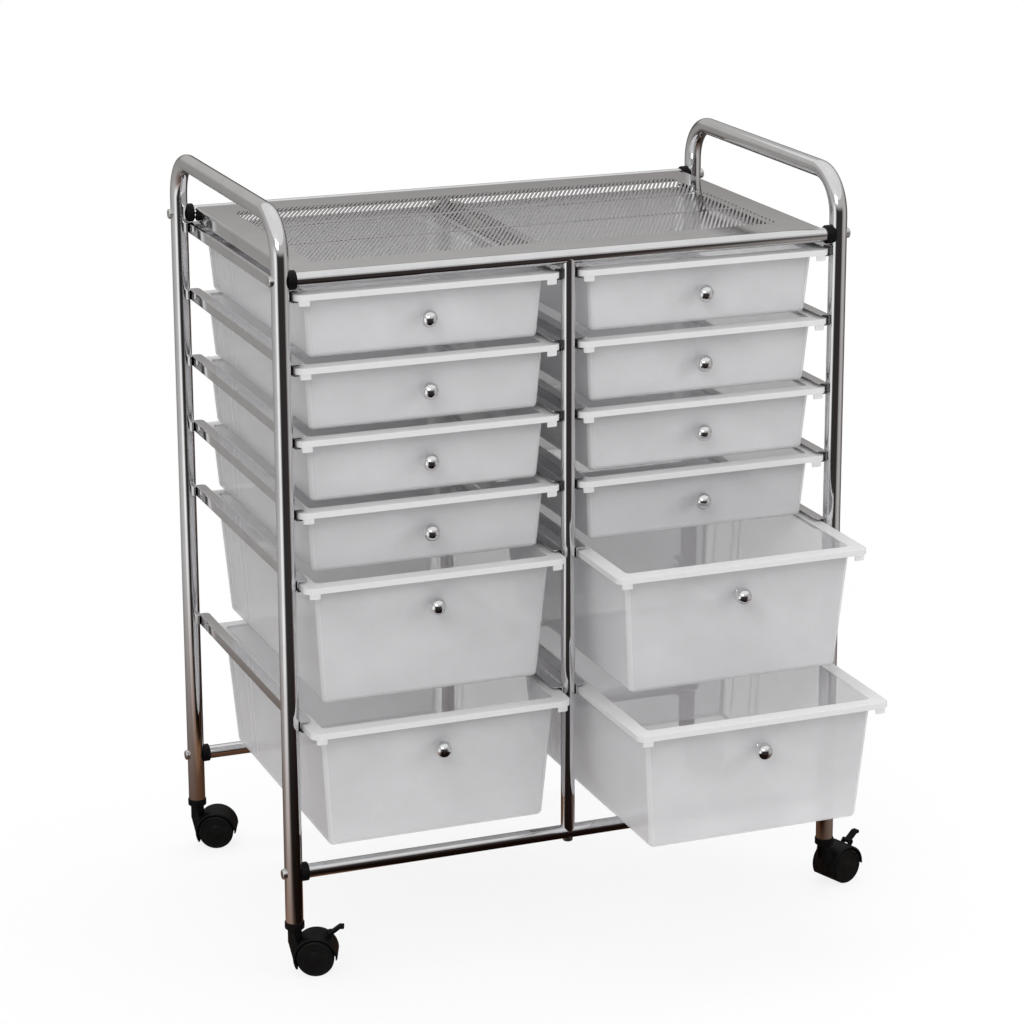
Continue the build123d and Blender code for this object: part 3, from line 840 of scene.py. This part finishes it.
def makeLever(corner):
    v = lever
    bm = bmesh.new()
    x, z = pivotPoint()
    rise, toe = math.radians(v["rise"]), math.radians(v["rise"] - v["toeTurn"])
    run = Vector((math.cos(rise), math.sin(rise)))
    drop = Vector((math.cos(toe), math.sin(toe)))
    spine = [Vector((x, z)), Vector((x, z)) + run * v["length"]]
    spine.append(spine[1] + drop * v["toe"])
    half = v["thickness"] / 2
    up = [Vector((-d.y, d.x)) for d in (run, run + drop, drop)]
    up = [n.normalized() for n in up]
    up[1] /= up[1].dot(up[0])
    outline = [p + n * half for p, n in zip(spine, up)]
    outline += [p - n * half for p, n in zip(spine[::-1], up[::-1])]
    face = bm.faces.new([bm.verts.new(point(p.x, -v["width"] / 2, p.y)) for p in outline])
    made = bmesh.ops.extrude_face_region(bm, geom=[face])["geom"]
    bmesh.ops.translate(bm, verts=vertsOf(made), vec=point(0, v["width"], 0))
    bmesh.ops.recalc_face_normals(bm, faces=bm.faces)
    soften(bm, sharpEdges(bm, v["sharp"]), v["edge"])
    rod(bm, v["knuckle"], (x, -v["width"] / 2, z), (x, v["width"] / 2, z), v["sides"])
    rod(bm, v["pin"], (x, -v["earOuter"], z), (x, v["earOuter"], z), v["pinSides"])
    bmesh.ops.transform(bm, matrix=cornerPlace(corner), verts=bm.verts)
    node = f"{corner}_brake_lever"
    addPiece(bm, camel(node), "black_plastic", node, [node])


socketCollar = {"radius": 10.5, "low": 49, "high": 57, "edge": 1.2}
bm = bmesh.new()
for corner in headings:
    makeHood(corner)
    makeWheel(corner, 1, "inner")
    makeWheel(corner, -1, "outer")
    if corner in braked:
        makeLever(corner)
    s = socketCollar
    x, y, z = cornerPlace(corner).translation / mm
    near, far = rod(bm, s["radius"], (x, y, s["low"]), (x, y, s["high"]))
    soften(bm, near + far, s["edge"])
addPiece(bm, "socketCollars", "black_plastic", "frame", ["caster_sockets"])
print("casters made")

# the solids that stay, all of them out of sight inside the others
keptNodes = {"post_plugs": "black_plastic", "caster_stems": "zinc"}
keptNodes.update({f"{corner}_axle": "zinc" for corner in headings})
for node, slot in keptNodes.items():
    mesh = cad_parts[node].data
    mesh.materials.clear()
    mesh.materials.append(finishes[slot])

# plain pale floor, in metres: shaded near the cart, white where the camera sees it far off
stage = {
    "floorHalf": 9.0, "shadowNear": 0.75, "shadowFar": 1.7, "nearWhite": 0.85,
    "floorColour": (0.86, 0.86, 0.86, 1),
}


def whiteSight(tree):  # 1 for rays that look at the backdrop, 0 for rays that light the cart
    path = Wire(tree)
    kinds = ("Camera", "Glossy", "Transmission")
    rays = [path.node("ShaderNodeLightPath", {}, {}, f"Is {kind} Ray") for kind in kinds]
    return rays[0].maths("MAXIMUM", rays[0], rays[1].maths("MAXIMUM", rays[1], rays[2]))


def makeFloor():
    bm = bmesh.new()
    bmesh.ops.create_grid(bm, x_segments=1, y_segments=1, size=stage["floorHalf"])
    mesh = bpy.data.meshes.new("floor")
    bm.to_mesh(mesh)
    bm.free()
    material = bpy.data.materials.new("paleFloor")
    material.use_nodes = True
    tree = material.node_tree
    tree.nodes.remove(tree.nodes["Principled BSDF"])
    start = Wire(tree)
    coords = start.node("ShaderNodeTexCoord", {}, {}, "Object")
    away = coords.node("ShaderNodeVectorMath", {"operation": "LENGTH"}, {0: coords}, "Value")
    near = stage["nearWhite"]
    far = near + (1 - near) * away.span(stage["shadowNear"], stage["shadowFar"])
    matt = start.node("ShaderNodeBsdfDiffuse", {}, {"Color": stage["floorColour"]})
    white = start.node("ShaderNodeEmission", {}, {"Color": (1, 1, 1, 1), "Strength": 1.0})
    both = start.node("ShaderNodeMixShader", {}, {0: far * whiteSight(tree), 1: matt, 2: white})
    both.feed(tree.nodes["Material Output"], "Surface")
    mesh.materials.append(material)
    floor = bpy.data.objects.new("floor", mesh)
    bpy.context.scene.collection.objects.link(floor)


makeFloor()

# what only the mirrors see, in metres: bands of dark and light all round, and a pale cover above
surround = {
    "radius": 3.4, "height": 2.6, "sides": 64, "lift": 0.002,
    "upper": (0.50, 0.49, 0.48), "upperFrom": (0.9, 1.7),
    "ceiling": (0.82, 0.82, 0.82), "ceilingEdge": 0.1,
    "nearFloor": (0.20, 0.10, 0.055), "nearSpan": (0.2, 1.6),
    "bands": (  # degrees from the front towards the right, and the grey there
        (-180, (0.10, 0.08, 0.07)), (-165, (0.30, 0.29, 0.28)), (-120, (0.44, 0.43, 0.42)),
        (-84, (0.58, 0.57, 0.56)), (-76, (1.0, 1.0, 1.0)), (-58, (1.0, 1.0, 1.0)),
        (-50, (0.30, 0.29, 0.28)), (-42, (0.03, 0.03, 0.03)), (26, (0.04, 0.03, 0.03)),
        (38, (0.36, 0.35, 0.34)), (62, (0.55, 0.54, 0.53)), (84, (0.34, 0.32, 0.31)),
        (104, (0.08, 0.06, 0.05)), (168, (0.07, 0.055, 0.05)),
    ),
}


def makeSurround():
    s = surround
    bm = bmesh.new()
    loop = ring(bm, s["radius"] / mm, (0, 0, s["lift"] / mm), sides=s["sides"])
    loop = pull(bm, loop, 0, 0, s["height"] / mm)
    bmesh.ops.edgeloop_fill(bm, edges=loop)
    mesh = bpy.data.meshes.new("dimRoom")
    bm.to_mesh(mesh)
    bm.free()
    material = bpy.data.materials.new("dimRoom")
    material.use_nodes = True
    tree = material.node_tree
    tree.nodes.remove(tree.nodes["Principled BSDF"])
    start = Wire(tree)
    coords = start.node("ShaderNodeTexCoord", {}, {}, "Object")
    x, y, z = [coords.node("ShaderNodeSeparateXYZ", {}, {"Vector": coords}, axis) for axis in "XYZ"]
    compass = x.maths("ARCTAN2", x, 0 - y) * (1 / math.tau) + 0.5
    stops = [((degrees + 180) / 360, (*grey, 1.0)) for degrees, grey in s["bands"]]
    stops.append((1.0, stops[0][1]))
    bands = compass.node("ShaderNodeValToRGB", {"stops": stops}, {"Fac": compass})
    away = coords.node("ShaderNodeVectorMath", {"operation": "LENGTH"}, {0: coords}, "Value")
    warm = away.span(*s["nearSpan"]).tint(s["nearFloor"], (1, 1, 1))
    multiply = {"data_type": "RGBA", "blend_type": "MULTIPLY"}
    low = warm.node("ShaderNodeMix", multiply, {0: 1.0, 6: bands, 7: warm}, 2)
    colour = blend(z.span(*s["upperFrom"]), low, (*s["upper"], 1))
    colour = blend(z.span(s["height"] - s["ceilingEdge"], s["height"]), colour, (*s["ceiling"], 1))
    glow = start.node("ShaderNodeEmission", {}, {"Color": colour, "Strength": 1.0})
    glow.feed(tree.nodes["Material Output"], "Surface")
    mesh.materials.append(material)
    room = bpy.data.objects.new("dimRoom", mesh)
    room.visible_camera = False
    room.visible_diffuse = False
    room.visible_transmission = False
    room.visible_volume_scatter = False
    room.visible_shadow = False
    bpy.context.scene.collection.objects.link(room)


makeSurround()

# soft studio light: the level all round, and each lamp's place and size in metres and power in watts
softLevel = 0.57
lampAim = (0, 0, 0.4)
lamps = {
    "key": ((-1.7, -2.3, 2.5), 1.7, 31),
    "fill": ((2.3, -1.9, 1.5), 1.6, 20),
    "top": ((0.2, 0.5, 2.9), 2.0, 52),
}
for name, (place, size, power) in lamps.items():
    data = bpy.data.lights.new(name, "AREA")
    data.size = size
    data.energy = power
    lamp = bpy.data.objects.new(name, data)
    lamp.location = place
    lamp.rotation_euler = (Vector(lampAim) - Vector(place)).to_track_quat("-Z", "Y").to_euler()
    lamp.visible_glossy = name != "fill"  # from behind, the shelf would mirror it as a white sheet
    bpy.context.scene.collection.objects.link(lamp)

world = bpy.data.worlds.new("studio")
bpy.context.scene.world = world
world.use_nodes = True
worldTree = world.node_tree
soft = worldTree.nodes["Background"]
soft.inputs["Color"].default_value = (1, 1, 1, 1)
soft.inputs["Strength"].default_value = softLevel
start = Wire(worldTree)
white = start.node("ShaderNodeBackground", {}, {"Color": (1, 1, 1, 1), "Strength": 1.0})
softWire = Wire(worldTree, soft.outputs[0])
both = start.node("ShaderNodeMixShader", {}, {0: whiteSight(worldTree), 1: softWire, 2: white})
both.feed(worldTree.nodes["World Output"], "Surface")
print("stage and light made")

# camera at the photograph's angle, placed in metres and turned in degrees
sight = {
    "focal": 3184.3, "drop": 100, "frame": 1024,  # pixels
    "azimuth": -21.236, "elevation": 14.825, "roll": -0.215, "place": (-1.2192, -3.1627, 1.431),
}


def makeCamera():
    turn, rise, roll = (math.radians(sight[key]) for key in ("azimuth", "elevation", "roll"))
    back = Vector((math.sin(turn) * math.cos(rise), -math.cos(turn) * math.cos(rise), math.sin(rise)))
    data = bpy.data.cameras.new("camera")
    data.lens = sight["focal"] / sight["frame"] * data.sensor_width
    data.shift_y = -sight["drop"] / sight["frame"]
    camera = bpy.data.objects.new("camera", data)
    look = (-back).to_track_quat("-Z", "Y").to_matrix() @ Matrix.Rotation(roll, 3, "Z")
    camera.matrix_world = Matrix.Translation(sight["place"]) @ look.to_4x4()
    bpy.context.scene.collection.objects.link(camera)
    bpy.context.scene.camera = camera


makeCamera()
bpy.context.scene.view_settings.view_transform = "Standard"
